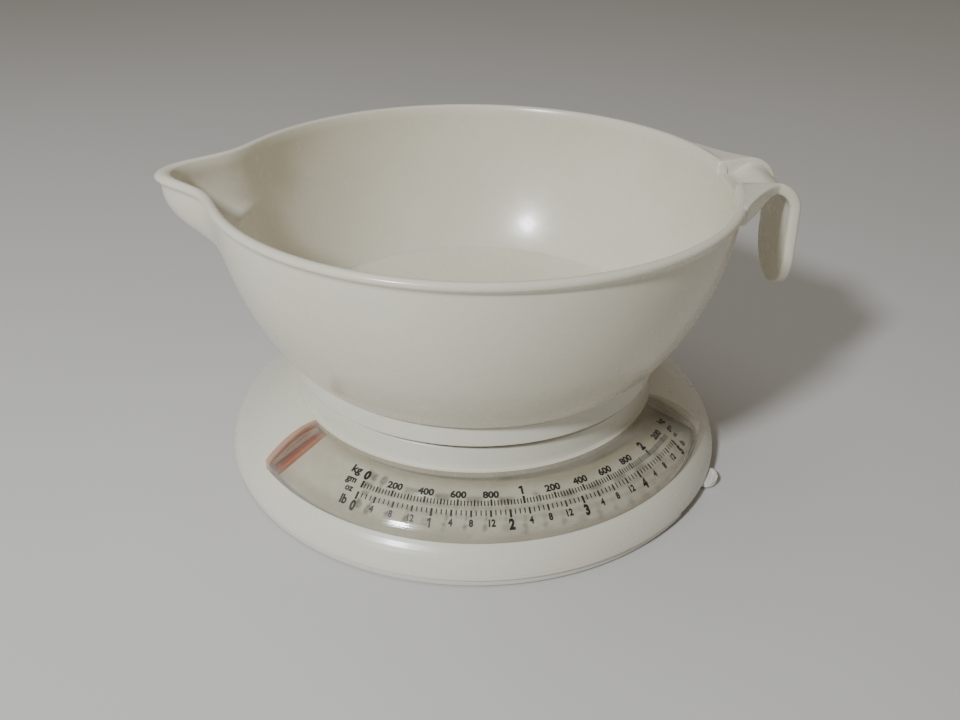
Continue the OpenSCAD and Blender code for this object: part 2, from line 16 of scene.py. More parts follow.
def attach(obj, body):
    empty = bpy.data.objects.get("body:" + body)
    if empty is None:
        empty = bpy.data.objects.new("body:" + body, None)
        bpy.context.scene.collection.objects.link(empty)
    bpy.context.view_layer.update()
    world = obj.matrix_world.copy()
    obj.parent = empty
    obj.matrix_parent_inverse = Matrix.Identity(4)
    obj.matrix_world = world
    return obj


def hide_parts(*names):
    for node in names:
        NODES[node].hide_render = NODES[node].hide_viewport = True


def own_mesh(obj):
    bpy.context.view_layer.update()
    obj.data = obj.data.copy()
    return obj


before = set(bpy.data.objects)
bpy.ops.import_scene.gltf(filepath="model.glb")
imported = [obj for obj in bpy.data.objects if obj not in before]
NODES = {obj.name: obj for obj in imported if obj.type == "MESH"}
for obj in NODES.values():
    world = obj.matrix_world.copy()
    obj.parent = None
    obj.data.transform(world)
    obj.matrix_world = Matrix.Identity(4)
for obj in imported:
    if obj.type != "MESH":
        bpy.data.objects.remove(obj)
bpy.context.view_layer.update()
MM = 0.001

# ---------------------------------------------------------------- driving dimensions, millimetres

# Bowl: control points of the outer wall's curve, in radius and height, and the floor's two faces.
# The foot ring's section is steps outwards and up from its own radius and the under face.
WALL_CURVE = ((73, 46), (83.5, 57), (95.8, 84), (95.2, 106.5))
BOWL_WALL = 2.1
UNDER_Z, FLOOR_Z = 45.7, 48.2
CENTRE_R = 3
FOOT_RING_R = 61.7
FOOT_RING = (
    (-2.0, -0.1), (-1.6, -0.5), (-1.2, -0.8), (-0.5, -0.9),
    (0.5, -0.9), (1.1, -0.7), (1.4, -0.3), (1.9, -0.05),
)
FLOOR_EDGE_R = 70.5

# Rolled rim: centre and half-sizes of the bead
BEAD_R, BEAD_Z = 95.21, 108.65
BEAD_WIDE, BEAD_TALL = 1.85, 1.55

# Spout: width in degrees, the height from which it is full, and each face's push outwards and depth
SPOUT_WIDTH = 9.7
SPOUT_FULL_Z = 103
OUTER_PUSH, OUTER_DEPTH = 20.0, 16.5
INNER_PUSH, INNER_DEPTH = 17.6, 14.5
BEAD_PUSH = 20.4

# Thumb notch in the rim: its floor, its half-width and its share of the rim above the floor
NOTCH_FLOOR = 105.6
NOTCH_HALF = 12.0
NOTCH_SHARE = 0.88

# Handle: a channel from the rim, over a bend, down a leg with a round tip. The root widens towards
# the rim, and the channel has all but closed at an angle round the tip, in degrees.
HALF = 16.0
FLANGE = 2.1
CHANNEL_DEPTH, HANDLE_SKIN = 2, 2
RIM_R = 95.6
ROOT_UNDER, ROOT_TOP = 103.6, 110.25
ROOT_SPREAD, ROOT_END_X, ROOT_LENGTH, ROOT_WIDEST = 21, 108, 18, 38.5
BEND_R, BEND_X, BEND_Z = 11.0, 106.0, 100.0
LEG_LEAN = 1.9 / 33
LOW_Z = 83.0
TIP_CLOSES = 60.3
EDGE_ROUND, LIP_ROUND, FLOOR_FILLET = 1.2, 0.7, 0.8

# Spring
SPRING_LOW, SPRING_HIGH, SPRING_R = 21.9, 42.4, 10.5
WIRE_R, SPRING_TURNS = 0.75, 6.5

# Window: from the cone to the outer edge, with its bulge, its ends in degrees and its skin
CONE_R, CONE_Z, EDGE_R, EDGE_Z, WINDOW_BULGE = 72.3, 27.0, 93.3, 17.2, 2.4
WINDOW_FROM, WINDOW_TO, WINDOW_WALL = -146.6, -18.0, 1.5
WINDOW_SKIN, WINDOW_FOOT, EDGE_CURVE, EDGE_STEP = 2.1, 11.4, 1.0, 0.45
END_WALL_DROP = 4.2

# Printed scale: the zero's azimuth, the turn for each kg, and how much the marks close up.
# The ticks are rows of step, length and width, the longest first.
PRINT_GAP = 0.05
ZERO_AT, DEGREES_PER_KG, CLOSING_UP = -118.3, 39.3, 0.75
KG_INNER_END, LB_OUTER_END = 85.4, 86.7
LAST_GRAMS, LAST_OUNCES = 2260, 80
POUND = 0.45359
KG_TICKS = ((1000, 2.4, 0.8), (200, 2.0, 0.68), (100, 1.9, 0.54), (20, 1.65, 0.42))
LB_TICKS = ((16, 2.3, 0.8), (4, 1.85, 0.66), (1, 1.5, 0.42))
CAP_HEIGHT, DESCENDER = 0.70, 0.08


# ---------------------------------------------------------------- materials


class Shader:
    """A node material under construction."""

    def __init__(self, name):
        self.material = bpy.data.materials.new(name)
        self.material.use_nodes = True
        self.tree = self.material.node_tree
        self.tree.nodes.clear()
        self.output = self.tree.nodes.new("ShaderNodeOutputMaterial")
        self.coords = self.tree.nodes.new("ShaderNodeTexCoord").outputs["Object"]

    def node(self, kind, links=None, **values):
        """A node with its properties and inputs set; links feed inputs by name or number."""
        made = self.tree.nodes.new(kind)
        for key, value in values.items():
            setattr(made, key, value)
        for key, value in (links or {}).items():
            if isinstance(value, bpy.types.NodeSocket):
                self.tree.links.new(value, made.inputs[key])
            else:
                made.inputs[key].default_value = value
        return made

    def arithmetic(self, operation, *values):
        """The result of one sum on numbers or sockets."""
        return self.node("ShaderNodeMath", dict(enumerate(values)), operation=operation).outputs[0]

    def noise(self, scale, detail=4.0, stretch=(1, 1, 1), distortion=0.0):
        """Noise of a given scale per metre over the object's own coordinates."""
        place = self.node("ShaderNodeMapping", {"Vector": self.coords, "Scale": stretch})
        return self.node(
            "ShaderNodeTexNoise",
            {"Vector": place.outputs[0], "Scale": scale, "Detail": detail, "Distortion": distortion},
        ).outputs["Fac"]

    def ranged(self, value, low, high, to_low, to_high):
        """A value mapped from low..high onto to_low..to_high."""
        return self.node(
            "ShaderNodeMapRange",
            {"Value": value, "From Min": low, "From Max": high, "To Min": to_low, "To Max": to_high},
        ).outputs[0]

    def blend(self, factor, a, b):
        """Two colours mixed."""
        mix = self.node("ShaderNodeMix", data_type="RGBA")
        for socket, value in ((mix.inputs[0], factor), (mix.inputs[6], a), (mix.inputs[7], b)):
            if isinstance(value, bpy.types.NodeSocket):
                self.tree.links.new(value, socket)
            else:
                socket.default_value = value
        return mix.outputs[2]

    def bump(self, height, strength, distance, under=None):
        """A bump normal, on top of another one if given."""
        links = {"Height": height, "Strength": strength, "Distance": distance}
        if under is not None:
            links["Normal"] = under
        return self.node("ShaderNodeBump", links).outputs[0]

    def soft_edges(self, radius):
        """Rounds sharp edges in the shading, where the mesh doesn't."""
        if not radius:
            return None
        return self.node("ShaderNodeBevel", {"Radius": radius}, samples=4).outputs[0]

    def mixed(self, factor, a, b):
        """Two shaders mixed."""
        mix = self.node("ShaderNodeMixShader", {"Fac": factor})
        self.tree.links.new(a.outputs[0], mix.inputs[1])
        self.tree.links.new(b.outputs[0], mix.inputs[2])
        return mix

    def finish(self, surface):
        """The finished material."""
        self.tree.links.new(surface.outputs[0], self.output.inputs["Surface"])
        return self.material


def rgba(color):
    return (color[0], color[1], color[2], 1.0)


def plastic(name, color, roughness, edge=0.0, under_skin=0.0, coat=0.0):
    """Moulded plastic with slight mottling, fine scuffs and a faint moulding ripple."""
    s = Shader(name)
    mottle = s.ranged(s.noise(26, 3.0), 0.3, 0.7, 0.0, 1.0)
    darker = tuple(c * f for c, f in zip(color, (0.955, 0.945, 0.925)))
    tone = s.blend(mottle, rgba(color), rgba(darker))
    specks = s.ranged(s.noise(900, 2.0), 0.715, 0.75, 0.0, 0.35)
    tone = s.blend(specks, tone, rgba(tuple(c * 0.72 for c in color)))
    scuffs = s.noise(190, 3.0)
    rough = s.ranged(scuffs, 0.35, 0.75, roughness - 0.02, roughness + 0.04)
    normal = s.bump(s.noise(45, 1.0), 0.04, 0.0003, s.soft_edges(edge))
    normal = s.bump(s.noise(1500, 2.0), 0.03, 0.00004, normal)
    shader = s.node(
        "ShaderNodeBsdfPrincipled",
        {
            "Base Color": tone,
            "Roughness": rough,
            "Normal": normal,
            "IOR": 1.49,
            "Subsurface Weight": under_skin,
            "Subsurface Scale": 0.004,
            "Coat Weight": coat,
            "Coat Roughness": 0.12,
        },
    )
    shader.inputs["Subsurface Radius"].default_value = (1.0, 0.75, 0.5)
    return s.finish(shader)


def metal(name, color, roughness, stretch):
    """Drawn or plated metal with fine lines and dull patches."""
    s = Shader(name)
    patches = s.noise(140, 4.0)
    dull = rgba(tuple(c * 0.8 for c in color))
    tone = s.blend(s.ranged(patches, 0.35, 0.7, 0, 1), rgba(color), dull)
    lines = s.noise(700, 3.0, stretch=stretch)
    rough = s.ranged(patches, 0.3, 0.7, roughness - 0.06, roughness + 0.12)
    normal = s.bump(lines, 0.12, 0.00008, s.soft_edges(0.00015))
    shader = s.node(
        "ShaderNodeBsdfPrincipled",
        {"Base Color": tone, "Metallic": 1.0, "Roughness": rough, "Normal": normal},
    )
    return s.finish(shader)


def rubber(name):
    """Black rubber with dust on it."""
    s = Shader(name)
    dust = s.ranged(s.noise(420, 5.0), 0.45, 0.75, 0.0, 0.6)
    tone = s.blend(dust, (0.022, 0.022, 0.022, 1), (0.10, 0.095, 0.09, 1))
    normal = s.bump(s.noise(2600, 2.0), 0.3, 0.0001, s.soft_edges(0.0002))
    shader = s.node(
        "ShaderNodeBsdfPrincipled",
        {"Base Color": tone, "Roughness": s.ranged(dust, 0, 0.6, 0.62, 0.85), "Normal": normal},
    )
    return s.finish(shader)


def window_bands(s):
    """Masks of bands of painted shade along the window's top and foot."""
    flat = s.node("ShaderNodeMapping", {"Vector": s.coords, "Scale": (1, 1, 0)})
    radius = s.node("ShaderNodeVectorMath", {0: flat.outputs[0]}, operation="LENGTH").outputs["Value"]
    uneven = s.ranged(s.noise(45, 3.0), 0.3, 0.7, -0.0012, 0.0012)
    radius = s.arithmetic("ADD", radius, uneven)
    # painted shade: a brown band under the cone's edge and one inside the outer edge
    top = s.ranged(radius, (CONE_R + 1.5) * MM, (CONE_R + 5.2) * MM, 0.75, 0.0)
    foot = s.ranged(radius, (EDGE_R - 2.8) * MM, (EDGE_R - 0.3) * MM, 0.0, 0.8)
    return top, foot


def window_ends(s):
    """Masks of the window's ends, clouded with painted light over the shaded gap below them, salmon at the
    left as a painted reflection of the red pointer.
    """
    place = s.node("ShaderNodeSeparateXYZ", {"Vector": s.coords})
    turn = s.arithmetic("ARCTAN2", place.outputs["Y"], place.outputs["X"])
    # painted light: the ends are clouded over the shaded gap below them
    left = s.ranged(turn, math.radians(WINDOW_FROM), math.radians(WINDOW_FROM + 2.4), 0.95, 0.0)
    right = s.ranged(turn, math.radians(WINDOW_TO - 2.5), math.radians(WINDOW_TO), 0.0, 0.8)
    return left, right


def clear_plastic(name):
    """Clear moulded plastic, hazed, with painted shade in bands along its top and foot and painted light
    clouding its ends, that lets light through to the dial.
    """
    s = Shader(name)
    haze = s.noise(160, 5.0, distortion=0.8)
    normal = s.bump(s.noise(60, 2.0), 0.05, 0.0003)
    top_painted_shade, foot_painted_shade = window_bands(s)
    left_end_painted_red, right_end_painted_light = window_ends(s)

    tint = s.blend(s.ranged(haze, 0.4, 0.8, 0, 1), (0.955, 0.95, 0.925, 1), (0.90, 0.885, 0.845, 1))
    # painted shade darkens the tint to brown in the top and foot bands
    tint = s.blend(top_painted_shade, tint, (0.80, 0.755, 0.64, 1))
    tint = s.blend(foot_painted_shade, tint, (0.78, 0.745, 0.65, 1))
    # painted light at the ends: a salmon tint at the left for the red pointer's reflection, a cream one at
    # the right
    tint = s.blend(left_end_painted_red, tint, (0.80, 0.56, 0.45, 1))
    tint = s.blend(right_end_painted_light, tint, (0.80, 0.75, 0.64, 1))
    grazing = s.node("ShaderNodeLayerWeight", {"Blend": 0.35, "Normal": normal}).outputs["Facing"]
    tint = s.blend(s.ranged(grazing, 0.45, 0.95, 0, 0.9), tint, (0.55, 0.53, 0.47, 1))
    through = s.node("ShaderNodeBsdfTransparent", {"Color": tint})

    # the cloud is the plastic's real haze, painted salmon at the left end as the red pointer's reflection
    cloud_and_painted_red_tone = s.blend(left_end_painted_red, (0.78, 0.76, 0.69, 1), (0.80, 0.42, 0.30, 1))
    cloud = s.node("ShaderNodeBsdfDiffuse", {"Color": cloud_and_painted_red_tone})
    # painted light: the cloud thickens at both ends over the shaded gap
    ends = s.arithmetic("ADD", left_end_painted_red, right_end_painted_light)
    # painted shade: the top and foot bands also thicken the cloud
    bands = s.arithmetic("ADD", top_painted_shade, foot_painted_shade)
    haze_and_painted_cloud = s.arithmetic("MULTIPLY_ADD", ends, 0.5, s.ranged(haze, 0.3, 0.8, 0.03, 0.11))
    haze_and_painted_cloud = s.arithmetic("MULTIPLY_ADD", bands, 0.22, haze_and_painted_cloud)

    rough = s.ranged(haze, 0.3, 0.7, 0.05, 0.16)
    gloss = s.node("ShaderNodeBsdfGlossy", {"Color": (1, 1, 1, 1), "Roughness": rough, "Normal": normal})
    fresnel = s.node("ShaderNodeFresnel", {"IOR": 1.46, "Normal": normal}).outputs[0]
    inside = s.node("ShaderNodeNewGeometry").outputs["Backfacing"]
    outside = s.arithmetic("SUBTRACT", 1.0, inside)
    shine = s.arithmetic("MULTIPLY", fresnel, outside)
    return s.finish(s.mixed(shine, s.mixed(haze_and_painted_cloud, through, cloud), gloss))


def ink(name, color):
    """Printing ink, worn in spots."""
    s = Shader(name)
    worn = s.ranged(s.noise(1700, 3.0), 0.66, 0.8, 0.0, 0.3)
    tone = s.blend(worn, rgba(color), (0.30, 0.29, 0.26, 1))
    rough = s.ranged(worn, 0, 1, 0.4, 0.6)
    return s.finish(s.node("ShaderNodeBsdfPrincipled", {"Base Color": tone, "Roughness": rough}))


def floor_material():
    s = Shader("stage_floor")
    patches = s.ranged(s.noise(3, 2.0), 0.3, 0.7, 0, 1)
    tone = s.blend(patches, (0.66, 0.645, 0.625, 1), (0.64, 0.625, 0.60, 1))
    return s.finish(s.node("ShaderNodeBsdfPrincipled", {"Base Color": tone, "Roughness": 0.55}))


BOWL = plastic("bowl_plastic", (0.775, 0.735, 0.61), 0.26, under_skin=0.10, coat=0.15)
COVER = plastic("cover_plastic", (0.775, 0.75, 0.64), 0.29, edge=0.0003, under_skin=0.06, coat=0.12)
TRAY = plastic("tray_plastic", (0.74, 0.71, 0.63), 0.42)
DIAL = plastic("dial_plastic", (0.77, 0.74, 0.655), 0.5, edge=0.0002)
WHITE = plastic("lever_plastic", (0.87, 0.865, 0.83), 0.25, coat=0.2)
NYLON = plastic("nylon", (0.76, 0.755, 0.70), 0.4, under_skin=0.1, edge=0.0001)
RED = plastic("pointer_plastic", (0.72, 0.20, 0.09), 0.38, edge=0.0002)
STEEL = metal("zinc_plate", (0.62, 0.63, 0.64), 0.34, stretch=(1, 1, 14))
WIRE = metal("spring_wire", (0.50, 0.50, 0.51), 0.28, stretch=(1, 1, 1))
RUBBER = rubber("rubber")
CLEAR = clear_plastic("clear_window")
INK = ink("scale_ink", (0.018, 0.017, 0.016))

NODE_LOOKS = {
    "base_tray": TRAY,
    "feet": RUBBER,
    "top_cover": COVER,
    "cover_screws": STEEL,
    "window": CLEAR,
    "dial_plate": DIAL,
    "dial_screws": STEEL,
    "crank_bracket": STEEL,
    "bracket_screws": STEEL,
    "crank_axle": STEEL,
    "bell_crank": NYLON,
    "rack": NYLON,
    "pointer_gear": NYLON,
    "pointer": RED,
    "zero_lever": WHITE,
    "spring_seat": NYLON,
    "platform": COVER,
    "drive_post": STEEL,
    "stem": STEEL,
    "stem_washer": STEEL,
    "stem_screw": STEEL,
}

for node_name, look in NODE_LOOKS.items():
    data = NODES[node_name].data
    data.materials.clear()
    data.materials.append(look)


# ---------------------------------------------------------------- mesh helpers


def piece(name, points, faces, material, body, sharp=50, merge=0.0):
    """A mesh piece from points in millimetres, riding on a body."""
    mesh = bpy.data.meshes.new(name)
    mesh.from_pydata([tuple(float(c) * MM for c in p) for p in points], [], [tuple(f) for f in faces])
    work = bmesh.new()
    work.from_mesh(mesh)
    if merge:
        bmesh.ops.remove_doubles(work, verts=work.verts, dist=merge * MM)
    bmesh.ops.recalc_face_normals(work, faces=work.faces)
    work.to_mesh(mesh)
    work.free()
    mesh.shade_smooth()
    mesh.set_sharp_from_angle(angle=math.radians(sharp))
    mesh.materials.append(material)
    made = bpy.data.objects.new(name, mesh)
    bpy.context.scene.collection.objects.link(made)
    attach(made, body)
    return made


def capped_grid(rows, columns):
    """Quads of a grid whose columns run round, with a cap on its first and its last row."""
    faces = []
    for i in range(rows - 1):
        for j in range(columns):
            k = (j + 1) % columns
            faces.append((i * columns + j, i * columns + k, (i + 1) * columns + k, (i + 1) * columns + j))
    faces.append(tuple(range(columns)))
    faces.append(tuple(range((rows - 1) * columns, rows * columns)))
    return faces


def smooth_step(value, low, high):
    """An S-shaped rise from 0 at low to 1 at high."""
    t = min(max((value - low) / (high - low), 0.0), 1.0)
    return t * t * (3 - 2 * t)


def around(radius, azimuth, z):
    """A point at a radius and an azimuth."""
    turn = math.radians(azimuth)
    return radius * math.cos(turn), radius * math.sin(turn), z


# ---------------------------------------------------------------- bowl


def wall_outer(t):
    """Outer wall of the bowl from its foot (0) to its rim (1)."""
    weights = ((1 - t) ** 3, 3 * (1 - t) ** 2 * t, 3 * (1 - t) * t * t, t**3)
    return sum(np.array(point, float) * weight for point, weight in zip(WALL_CURVE, weights))


def wall_inner(t):
    """Inner wall, at the wall's thickness from the outer one."""
    a, b = wall_outer(max(t - 0.01, 0)), wall_outer(min(t + 0.01, 1))
    along = (b - a) / np.linalg.norm(b - a)
    return wall_outer(t) - BOWL_WALL * np.array((along[1], -along[0]))


def spout_part(z, depth):
    """How much of the spout there is at height z, from 0 to 1."""
    if z >= SPOUT_FULL_Z:
        return 1.0
    if z <= SPOUT_FULL_Z - depth:
        return 0.0
    return math.sqrt(1 - ((SPOUT_FULL_Z - z) / depth) ** 2)


def bowl_profile():
    """Rows of radius, height and how far the spout pushes the row out."""
    rows = [(CENTRE_R, UNDER_Z, 0), (FOOT_RING_R - 3.7, UNDER_Z, 0)]
    rows += [(FOOT_RING_R + out, UNDER_Z + up, 0) for out, up in FOOT_RING]
    rows.append((FLOOR_EDGE_R, UNDER_Z, 0))
    rows += [(FLOOR_EDGE_R + 1.5, UNDER_Z + 0.02, 0), (FLOOR_EDGE_R + 2.1, UNDER_Z + 0.12, 0)]
    steps = np.concatenate([np.linspace(0.02, 0.6, 16), np.linspace(0.62, 0.995, 26)])
    for t in steps:
        r, z = wall_outer(t)
        rows.append((r, z, OUTER_PUSH * spout_part(z, OUTER_DEPTH)))
    bead_from, bead_turn, bead_rows = -62, 212, 18
    for i in range(bead_rows + 1):
        degrees = bead_from + i * bead_turn / bead_rows
        inward = max(0.0, (degrees + 20) / 170)
        r, z = BEAD_WIDE * math.cos(math.radians(degrees)), BEAD_TALL * math.sin(math.radians(degrees))
        rows.append((BEAD_R + r, BEAD_Z + z, BEAD_PUSH - (BEAD_PUSH - INNER_PUSH) * inward))
    for t in steps[::-1]:
        r, z = wall_inner(t)
        rows.append((r, z, INNER_PUSH * spout_part(z, INNER_DEPTH)))
    rows += [(FLOOR_EDGE_R + 2.5, FLOOR_Z + 0.75, 0), (FLOOR_EDGE_R + 1.4, FLOOR_Z + 0.3, 0)]
    rows += [(FLOOR_EDGE_R, FLOOR_Z + 0.05, 0), (FLOOR_EDGE_R - 4.5, FLOOR_Z, 0), (CENTRE_R, FLOOR_Z, 0)]
    return rows


def bowl_point(r, z, push, azimuth):
    """A point of the bowl with the spout's bulge and the thumb notch at the handle."""
    r += push * math.exp(-(((azimuth - 180) / SPOUT_WIDTH) ** 2))
    x, y, z = around(r, azimuth, z)
    if x > 80 and z > NOTCH_FLOOR:
        beside = smooth_step(abs(y), NOTCH_HALF - 1.2, NOTCH_HALF + 0.6)
        z -= NOTCH_SHARE * (z - NOTCH_FLOOR) * (1 - beside)
    return x, y, z


def build_bowl():
    """Bowl with its rolled rim and spout, finer at the notch and at the spout."""
    notch = np.arange(-9, 9.01, 0.25)
    back = np.arange(10, 150, 1.5)
    spout = np.arange(150, 210, 0.75)
    front = np.arange(210, 350, 1.5)
    azimuths = np.concatenate([notch, back, spout, front])
    rows = bowl_profile()
    points = [bowl_point(r, z, push, a) for r, z, push in rows for a in azimuths]
    faces = capped_grid(len(rows), len(azimuths))
    bowl = piece("bowl_shell", points, faces, BOWL, "mixing_bowl", sharp=60)
    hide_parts("bowl")
    return bowl


# ---------------------------------------------------------------- handle


def root_half(x):
    """Half-width of the handle, which spreads towards the rim."""
    return HALF + ROOT_SPREAD * (max(0.0, ROOT_END_X - x) / ROOT_LENGTH) ** 1.4


def rim_fall(y):
    """How far the rim's circle lies behind its foremost point at y."""
    return RIM_R - math.sqrt(max(RIM_R**2 - y**2, 1))


def root_stations():
    """Stations from the rim to the bend, which follow the rim's circle at first."""
    bend_top = BEND_Z + BEND_R
    bend_floor = bend_top - CHANNEL_DEPTH
    bend_under = bend_floor - HANDLE_SKIN
    stations = []
    for x in np.linspace(RIM_R, 105.6, 22):
        crest = ROOT_TOP + (bend_top - ROOT_TOP) * smooth_step(x, 95, 106)
        floor = NOTCH_FLOOR + (bend_floor - NOTCH_FLOOR) * smooth_step(x, 98.5, 106.3)
        under = ROOT_UNDER + (bend_under - ROOT_UNDER) * smooth_step(x, 98.0, 106.5)
        rim_share = min(max((BEND_X - x) / (BEND_X - RIM_R), 0.0), 1.0)
        half = 20.0
        for _ in range(40):
            half = min(0.5 * half + 0.5 * root_half(x - rim_share * rim_fall(half)), ROOT_WIDEST)
        channel = NOTCH_HALF + (HALF - FLANGE - NOTCH_HALF) * smooth_step(x, 96, 106)
        stations.append(((x, crest), (x, floor), (x, under), half, channel, rim_share))
    return stations


def bend_stations():
    """Stations round the bend."""
    stations = []
    for angle in np.linspace(87, 4, 22):
        c, s = math.cos(math.radians(angle)), math.sin(math.radians(angle))
        radii = (BEND_R, BEND_R - CHANNEL_DEPTH, BEND_R - CHANNEL_DEPTH - HANDLE_SKIN)
        crest, floor, under = [(BEND_X + r * c, BEND_Z + r * s) for r in radii]
        stations.append((crest, floor, under, root_half(crest[0]), HALF - FLANGE, 0.0))
    return stations


def leg_stations():
    """Stations down the leg and round its tip, where the channel closes before the end."""

    def levels(z):
        x = BEND_X + BEND_R + LEG_LEAN * (BEND_Z - z)
        return (x, z), (x - CHANNEL_DEPTH, z), (x - CHANNEL_DEPTH - HANDLE_SKIN, z)

    stations = [(*levels(z), HALF, HALF - FLANGE, 0.0) for z in np.linspace(BEND_Z - 1, LOW_Z + 0.6, 10)]
    tip = np.concatenate([np.arange(0, 60, 4), [TIP_CLOSES], np.arange(63, 88, 3), [88.5, 90]])
    for phi in tip:
        drop = HALF * math.sin(math.radians(phi))
        half = HALF * math.cos(math.radians(phi))
        channel = math.sqrt(max((HALF - FLANGE) ** 2 - drop**2, 0.0))
        crest, floor, under = levels(LOW_Z - drop)
        if channel == 0:
            floor = crest
        stations.append((crest, floor, under, max(half, 0.0), channel, 0.0))
    return stations


def channel_side(crest, floor, under, half, channel):
    """One side of the channel's section as pairs of y and a point, from under the middle to the floor."""
    down = (under - crest) / np.linalg.norm(under - crest)
    edge = min(EDGE_ROUND, half * 0.5)
    lip = min(LIP_ROUND, channel * 0.5, max((half - channel) * 0.3, 0))
    fillet = min(FLOOR_FILLET, channel * 0.4, float(np.linalg.norm(floor - crest)) * 0.4)
    side = [(max(half - 1.0, 0) * i / 10, under) for i in range(1, 11)]
    side.append((max(half - 0.3, 0), under - 0.3 * down))
    side.append((half, under - down))
    side.append((half, crest + edge * down))
    for q in np.radians((30, 60, 90)):
        side.append((half - edge * (1 - math.cos(q)), crest + edge * (1 - math.sin(q)) * down))
    for i in range(1, 7):
        side.append((half - edge + (channel + lip - half + edge) * i / 7, crest))
    for q in np.radians((0, 45, 90)):
        side.append((channel + lip * (1 - math.sin(q)), crest + lip * (1 - math.cos(q)) * down))
    for q in np.radians((0, 45, 90)):
        side.append((channel - fillet * (1 - math.cos(q)), floor - fillet * (1 - math.sin(q)) * down))
    side += [((channel - fillet) * (1 - i / 4), floor) for i in range(1, 4)]
    return side


def build_handle():
    """A channel swept from the rim over the bend and down the leg."""
    points = []
    stations = root_stations() + bend_stations() + leg_stations()
    for crest, floor, under, half, channel, rim_share in stations:
        crest, floor, under = (np.array(p, float) for p in (crest, floor, under))
        side = channel_side(crest, floor, under, half, channel)
        for y, level in side + [(-y, level) for y, level in reversed(side)]:
            points.append((level[0] - rim_share * rim_fall(y), y, level[1]))
    faces = capped_grid(len(stations), len(points) // len(stations))
    handle = piece("bowl_handle", points, faces, BOWL, "mixing_bowl", sharp=55, merge=0.01)
    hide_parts("bowl")
    return handle


# ---------------------------------------------------------------- spring


def coil_height(turns, low, high):
    """Height of the wire's middle after some turns: the first and last ones lie closed."""
    closed = 1.1 * WIRE_R
    if turns < 1:
        return low + turns * closed
    if turns > SPRING_TURNS - 1:
        return high - (SPRING_TURNS - turns) * closed
    return low + closed + (turns - 1) / (SPRING_TURNS - 2) * (high - low - 2 * closed)


def build_spring():
    """The compression spring, riding on the platform."""
    low, high = SPRING_LOW, SPRING_HIGH
    per_turn, sides = 36, 12
    steps = int(SPRING_TURNS * per_turn)
    points = []
    for i in range(steps + 1):
        turns = i / per_turn
        middle = coil_height(turns, low + WIRE_R, high - WIRE_R)
        for j in range(sides):
            w = 2 * math.pi * j / sides
            points.append(around(SPRING_R + WIRE_R * math.cos(w), 360 * turns, middle + WIRE_R * math.sin(w)))
    faces = capped_grid(steps + 1, sides)
    spring = piece("spring_coil", points, faces, WIRE, "weighing_platform")
    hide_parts("main_spring")
    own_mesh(spring)
    return spring


# ---------------------------------------------------------------- window


def window_height(r):
    """Height of the window's outer face: a cone with a bulge across it."""
    u = (r - CONE_R) / (EDGE_R - CONE_R)
    return CONE_Z - (r - CONE_R) * (CONE_Z - EDGE_Z) / (EDGE_R - CONE_R) + WINDOW_BULGE * 4 * u * (1 - u)


def window_section(solid):
    """Outer and inner line of the window's section, from the cone's top to its outer foot."""
    face_rows, foot_rows = 22, 9
    edge_from = EDGE_R - EDGE_CURVE
    outer = [(r, window_height(r)) for r in np.linspace(CONE_R, edge_from, face_rows)]
    start = window_height(edge_from) - EDGE_STEP
    for q in np.radians((20, 40, 60, 80, 90)):
        outer.append((edge_from + EDGE_CURVE * math.sin(q), start - EDGE_CURVE * (1 - math.cos(q))))
    outer += [(EDGE_R, z) for z in np.linspace(15.0, WINDOW_FOOT, 4)]
    inner = []
    for r, z in outer[:face_rows]:
        inner.append((min(r, EDGE_R - 2.4), z - WINDOW_SKIN - 0.25 * max(0.0, r - EDGE_R + 3)))
    foot_top = inner[-1][1] - 0.3
    for z in np.linspace(foot_top, WINDOW_FOOT, foot_rows):
        inner.append((EDGE_R - 2.2, z))
    if solid:
        wall = np.linspace(CONE_Z - END_WALL_DROP, WINDOW_FOOT, len(inner))
        inner = [(r, z) for (r, _), z in zip(inner, wall)]
    return outer, inner


def build_window():
    """Clear domed window with a wall at each end."""
    wall = WINDOW_WALL
    stations = [(WINDOW_FROM, True), (WINDOW_FROM + wall / 2, True), (WINDOW_FROM + wall, True)]
    stations += [(a, False) for a in np.linspace(WINDOW_FROM + wall + 0.05, WINDOW_TO - wall - 0.05, 180)]
    stations += [(WINDOW_TO - wall, True), (WINDOW_TO - wall / 2, True), (WINDOW_TO, True)]
    points = []
    for azimuth, solid in stations:
        outer, inner = window_section(solid)
        points += [around(r, azimuth, z) for r, z in outer + inner[::-1]]
    faces = capped_grid(len(stations), len(points) // len(stations))
    window = piece("window_pane", points, faces, CLEAR, "base", sharp=40)
    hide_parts("window")
    return window


# ---------------------------------------------------------------- printed scale


def reading(kilograms):
    """Azimuth of a load on the scale, in degrees: the marks close up slightly towards the end."""
    return ZERO_AT + DEGREES_PER_KG * kilograms - CLOSING_UP * kilograms**2


